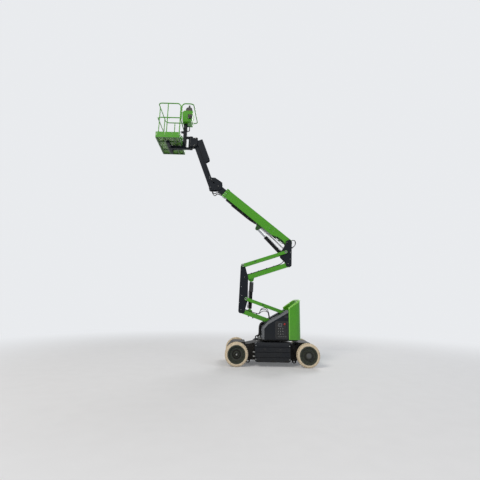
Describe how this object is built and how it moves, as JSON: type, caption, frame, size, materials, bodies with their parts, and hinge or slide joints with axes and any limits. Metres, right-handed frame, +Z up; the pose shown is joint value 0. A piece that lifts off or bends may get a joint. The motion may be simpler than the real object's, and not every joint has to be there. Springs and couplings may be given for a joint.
{
  "type": "articulating boom lift",
  "caption": "Self-propelled articulating boom lift with slewing turntable, stacked riser links, telescopic boom, jib and turning work platform with guard rails.",
  "frame": {"origin": "on the ground below the middle of the chassis, on the slewing axis", "axes": "+X forward, towards the platform; +Y to the machine's left; +Z up"},
  "size_m": [4.695, 1.436, 7.7195],
  "materials": {
    "green_paint": "gloss",
    "rail_paint": "gloss",
    "dark_paint": "satin",
    "bare_steel": "matte",
    "tyre": "matte",
    "rim": "satin",
    "chrome": "polished",
    "black_plastic": "matte"
  },
  "bodies": {
    "chassis": {"chassis_frame": "dark_paint", "front_cover": "dark_paint", "rear_cover": "dark_paint", "side_box_left": "dark_paint", "side_box_right": "dark_paint", "steer_axle": "dark_paint", "drive_axle": "dark_paint", "slew_ring": "bare_steel"},
    "knuckle_left": {"knuckle_left": "dark_paint"},
    "knuckle_right": {"knuckle_right": "dark_paint"},
    "tie_rod": {"tie_rod": "dark_paint"},
    "turntable": {"turntable_deck": "dark_paint", "riser_mast": "dark_paint", "tail_cover": "green_paint", "power_unit": "bare_steel", "control_panel": "black_plastic", "hood_left": "dark_paint", "hood_right": "dark_paint"},
    "hood_door_left": {"hood_door_left": "dark_paint"},
    "hood_door_right": {"hood_door_right": "dark_paint"},
    "lower_link_1": {"lower_link_1": "green_paint"},
    "upper_link_1": {"upper_link_1": "green_paint"},
    "mid_upright": {"mid_upright": "dark_paint"},
    "lower_link_2": {"lower_link_2": "green_paint"},
    "upper_link_2": {"upper_link_2": "green_paint"},
    "upper_upright": {"upper_upright": "dark_paint"},
    "riser_barrel": {"riser_barrel": "dark_paint"},
    "riser_rod": {"riser_rod": "chrome"},
    "main_boom": {"main_boom": "green_paint", "boom_collar": "green_paint", "hose_tray": "dark_paint"},
    "boom_extension": {"boom_extension": "dark_paint"},
    "boom_barrel": {"boom_barrel": "dark_paint"},
    "boom_rod": {"boom_rod": "chrome"},
    "jib_head": {"jib_head": "dark_paint"},
    "jib_arm": {"jib_arm": "dark_paint"},
    "jib_level_link": {"jib_level_link": "dark_paint", "jib_cover": "dark_paint"},
    "jib_barrel": {"jib_barrel": "dark_paint"},
    "jib_rod": {"jib_rod": "chrome"},
    "jib_tip": {"jib_tip": "dark_paint"},
    "platform": {"platform_support": "dark_paint", "platform_floor": "green_paint", "toe_board": "green_paint", "guard_rails": "rail_paint", "console": "black_plastic", "control_cover": "black_plastic"},
    "gate": {"gate": "rail_paint"},
    "wheel_front_left": {"tyre_front_left": "tyre", "rim_front_left": "rim"},
    "wheel_front_right": {"tyre_front_right": "tyre", "rim_front_right": "rim"},
    "wheel_rear_left": {"tyre_rear_left": "tyre", "rim_rear_left": "rim"},
    "wheel_rear_right": {"tyre_rear_right": "tyre", "rim_rear_right": "rim"}
  },
  "joints": [
    {"name": "turntable_slew", "type": "hinge", "parent": "chassis", "child": "turntable", "pos_m": [0, 0, 0.63], "axis": [0, 0, 1], "range_deg": [-177.5, 177.5]},
    {"name": "steer_left", "type": "hinge", "parent": "chassis", "child": "knuckle_left", "pos_m": [0.925, 0.468, 0.3], "axis": [0, 0, 1], "range_deg": [-35, 35]},
    {"name": "steer_right", "type": "hinge", "parent": "chassis", "child": "knuckle_right", "pos_m": [0.925, -0.468, 0.3], "axis": [0, 0, 1], "range_deg": [-35.02, 35.02]},
    {"name": "tie_rod_turn", "type": "hinge", "parent": "knuckle_left", "child": "tie_rod", "pos_m": [0.775, 0.468, 0.3], "axis": [0, 0, 1], "range_deg": [-35.02, 35.02]},
    {"name": "wheel_front_left", "type": "hinge", "parent": "knuckle_left", "child": "wheel_front_left", "pos_m": [0.925, 0.62, 0.3], "axis": [0, 1, 0], "continuous": true},
    {"name": "wheel_front_right", "type": "hinge", "parent": "knuckle_right", "child": "wheel_front_right", "pos_m": [0.925, -0.62, 0.3], "axis": [0, 1, 0], "continuous": true},
    {"name": "wheel_rear_left", "type": "hinge", "parent": "chassis", "child": "wheel_rear_left", "pos_m": [-0.925, 0.62, 0.3], "axis": [0, 1, 0], "continuous": true},
    {"name": "wheel_rear_right", "type": "hinge", "parent": "chassis", "child": "wheel_rear_right", "pos_m": [-0.925, -0.62, 0.3], "axis": [0, 1, 0], "continuous": true},
    {"name": "hood_door_left_swing", "type": "hinge", "parent": "turntable", "child": "hood_door_left", "pos_m": [0.272, 0.514, 0.8], "axis": [0, 0, -1], "range_deg": [0, 100]},
    {"name": "hood_door_right_swing", "type": "hinge", "parent": "turntable", "child": "hood_door_right", "pos_m": [0.272, -0.514, 0.8], "axis": [0, 0, 1], "range_deg": [0, 100]},
    {"name": "riser_lift", "type": "hinge", "parent": "turntable", "child": "lower_link_1", "pos_m": [-0.42, 0, 0.95], "axis": [0, -1, 0], "range_deg": [-28.5, 33.5]},
    {"name": "upper_link_1_swing", "type": "hinge", "parent": "turntable", "child": "upper_link_1", "pos_m": [-0.546, 0, 1.28], "axis": [0, -1, 0], "range_deg": [-28.52, 33.52]},
    {"name": "mid_upright_level", "type": "hinge", "parent": "lower_link_1", "child": "mid_upright", "pos_m": [0.81282, 0, 1.3625], "axis": [0, -1, 0], "range_deg": [-33.52, 28.52]},
    {"name": "lower_link_2_swing", "type": "hinge", "parent": "mid_upright", "child": "lower_link_2", "pos_m": [0.72482, 0, 2.2595], "axis": [0, 1, 0], "range_deg": [-28.52, 33.52]},
    {"name": "upper_link_2_swing", "type": "hinge", "parent": "mid_upright", "child": "upper_link_2", "pos_m": [0.78582, 0, 2.6195], "axis": [0, 1, 0], "range_deg": [-28.52, 33.52]},
    {"name": "upper_upright_level", "type": "hinge", "parent": "lower_link_2", "child": "upper_upright", "pos_m": [-0.508, 0, 2.67199], "axis": [0, 1, 0], "range_deg": [-33.52, 28.52]},
    {"name": "riser_barrel_swing", "type": "hinge", "parent": "lower_link_1", "child": "riser_barrel", "pos_m": [0.56869, 0, 1.36728], "axis": [0, -1, 0], "range_deg": [-32.78, 27.89]},
    {"name": "riser_rod_stroke", "type": "slide", "parent": "riser_barrel", "child": "riser_rod", "axis": [-0.0432, 0, 0.9991], "range_m": [-0.20789, 0.24435]},
    {"name": "boom_lift", "type": "hinge", "parent": "upper_upright", "child": "main_boom", "pos_m": [-0.51, 0, 3.29], "axis": [0, -1, 0], "range_deg": [-43.6, 31.4]},
    {"name": "boom_barrel_swing", "type": "hinge", "parent": "upper_upright", "child": "boom_barrel", "pos_m": [-0.36, 0, 2.95], "axis": [0, -1, 0], "range_deg": [-39.32, 28.33]},
    {"name": "boom_rod_stroke", "type": "slide", "parent": "boom_barrel", "child": "boom_rod", "axis": [0.6911, 0, 0.7227], "range_m": [-0.25597, 0.18437]},
    {"name": "boom_extend", "type": "slide", "parent": "main_boom", "child": "boom_extension", "axis": [0.7815, 0, 0.6239], "range_m": [0, 1.2]},
    {"name": "head_level", "type": "hinge", "parent": "boom_extension", "child": "jib_head", "pos_m": [1.58291, 0, 4.96075], "axis": [0, -1, 0], "range_deg": [-31.42, 43.62]},
    {"name": "jib_lift", "type": "hinge", "parent": "jib_head", "child": "jib_arm", "pos_m": [1.79991, 0, 4.92975], "axis": [0, -1, 0], "range_deg": [-128.9, 6.1]},
    {"name": "jib_level_link_swing", "type": "hinge", "parent": "jib_head", "child": "jib_level_link", "pos_m": [1.77991, 0, 5.16475], "axis": [0, -1, 0], "range_deg": [-128.92, 6.12]},
    {"name": "jib_tip_level", "type": "hinge", "parent": "jib_arm", "child": "jib_tip", "pos_m": [2.32911, 0, 6.30119], "axis": [0, -1, 0], "range_deg": [-6.12, 128.92]},
    {"name": "jib_barrel_swing", "type": "hinge", "parent": "jib_tip", "child": "jib_barrel", "pos_m": [2.30911, 0, 6.53619], "axis": [0, -1, 0], "range_deg": [-127.87, 6.07]},
    {"name": "jib_rod_stroke", "type": "slide", "parent": "jib_barrel", "child": "jib_rod", "axis": [-0.3022, 0, -0.9533], "range_m": [-0.42484, 0.0202]},
    {"name": "platform_turn", "type": "hinge", "parent": "jib_tip", "child": "platform", "pos_m": [2.48511, 0, 6.4], "axis": [0, 0, 1], "range_deg": [-80, 80]},
    {"name": "gate_swing", "type": "hinge", "parent": "platform", "child": "gate", "pos_m": [2.81711, -0.6167, 6.7], "axis": [0, 0, 1], "range_deg": [0, 90]}
  ],
  "couplings": [
    {"joint": "steer_right", "follows": "steer_left", "ratio": 1},
    {"joint": "tie_rod_turn", "follows": "steer_left", "ratio": -1},
    {"joint": "upper_link_1_swing", "follows": "riser_lift", "ratio": 1},
    {"joint": "mid_upright_level", "follows": "riser_lift", "ratio": -1},
    {"joint": "lower_link_2_swing", "follows": "riser_lift", "ratio": 1},
    {"joint": "upper_link_2_swing", "follows": "riser_lift", "ratio": 1},
    {"joint": "upper_upright_level", "follows": "riser_lift", "ratio": -1},
    {"joint": "riser_barrel_swing", "follows": "riser_lift", "ratio": -0.97784},
    {"joint": "riser_rod_stroke", "follows": "riser_lift", "m_per_rad": 0.41774},
    {"joint": "boom_barrel_swing", "follows": "boom_lift", "ratio": 0.90144},
    {"joint": "boom_rod_stroke", "follows": "boom_lift", "m_per_rad": 0.33624},
    {"joint": "head_level", "follows": "boom_lift", "ratio": -1},
    {"joint": "jib_level_link_swing", "follows": "jib_lift", "ratio": 1},
    {"joint": "jib_tip_level", "follows": "jib_lift", "ratio": -1},
    {"joint": "jib_barrel_swing", "follows": "jib_lift", "ratio": 0.99189},
    {"joint": "jib_rod_stroke", "follows": "jib_lift", "m_per_rad": 0.1888}
  ]
}
